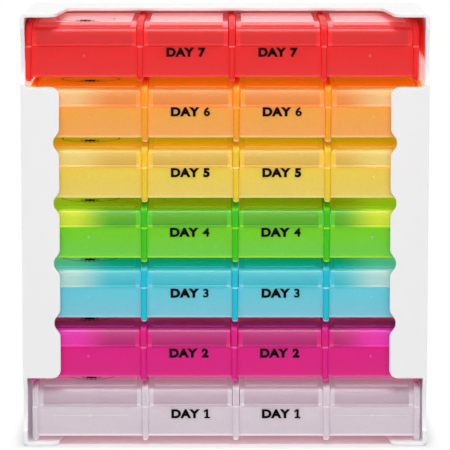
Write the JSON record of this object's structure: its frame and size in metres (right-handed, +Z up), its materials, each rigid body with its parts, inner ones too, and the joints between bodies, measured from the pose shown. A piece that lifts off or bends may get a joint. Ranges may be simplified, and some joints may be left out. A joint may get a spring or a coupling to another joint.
{
  "type": "weekly pill organizer",
  "caption": "White open-front holder with a stack of translucent day trays, each split into lidded pill cells; the bottom and top trays slide out.",
  "frame": {"origin": "middle of the holder's footprint, on the surface it stands on", "axes": "+X to the right seen from the front, +Y from the open front to the back, +Z up"},
  "size_m": [0.1306, 0.054, 0.1403],
  "materials": {
    "holder_white": "satin moulded polypropylene",
    "tray_clear": "translucent moulded polypropylene, glossy",
    "tray_magenta": "translucent moulded polypropylene, glossy",
    "tray_blue": "translucent moulded polypropylene, glossy",
    "tray_green": "translucent moulded polypropylene, glossy",
    "tray_yellow": "translucent moulded polypropylene, glossy",
    "tray_orange": "translucent moulded polypropylene, glossy",
    "tray_red": "translucent moulded polypropylene, glossy"
  },
  "bodies": {
    "holder_and_stack": {"holder": "holder_white", "tray_day2_base": "tray_magenta", "tray_day2_lid_1": "tray_magenta", "tray_day2_lid_2": "tray_magenta", "tray_day2_lid_3": "tray_magenta", "tray_day2_lid_4": "tray_magenta", "tray_day3_base": "tray_blue", "tray_day3_lid_1": "tray_blue", "tray_day3_lid_2": "tray_blue", "tray_day3_lid_3": "tray_blue", "tray_day3_lid_4": "tray_blue", "tray_day4_base": "tray_green", "tray_day4_lid_1": "tray_green", "tray_day4_lid_2": "tray_green", "tray_day4_lid_3": "tray_green", "tray_day4_lid_4": "tray_green", "tray_day5_base": "tray_yellow", "tray_day5_lid_1": "tray_yellow", "tray_day5_lid_2": "tray_yellow", "tray_day5_lid_3": "tray_yellow", "tray_day5_lid_4": "tray_yellow", "tray_day6_base": "tray_orange", "tray_day6_lid_1": "tray_orange", "tray_day6_lid_2": "tray_orange", "tray_day6_lid_3": "tray_orange", "tray_day6_lid_4": "tray_orange"},
    "bottom_tray": {"tray_day1_base": "tray_clear", "tray_day1_lid_1": "tray_clear", "tray_day1_lid_2": "tray_clear", "tray_day1_lid_3": "tray_clear", "tray_day1_lid_4": "tray_clear"},
    "top_tray": {"tray_day7_base": "tray_red", "tray_day7_lid_1": "tray_red", "tray_day7_lid_2": "tray_red", "tray_day7_lid_3": "tray_red", "tray_day7_lid_4": "tray_red"}
  },
  "joints": [
    {"name": "bottom_tray_slide", "type": "slide", "parent": "holder_and_stack", "child": "bottom_tray", "axis": [0, -1, 0], "range_m": [0, 0.055]},
    {"name": "top_tray_slide", "type": "slide", "parent": "holder_and_stack", "child": "top_tray", "axis": [0, -1, 0], "range_m": [0, 0.055]}
  ]
}
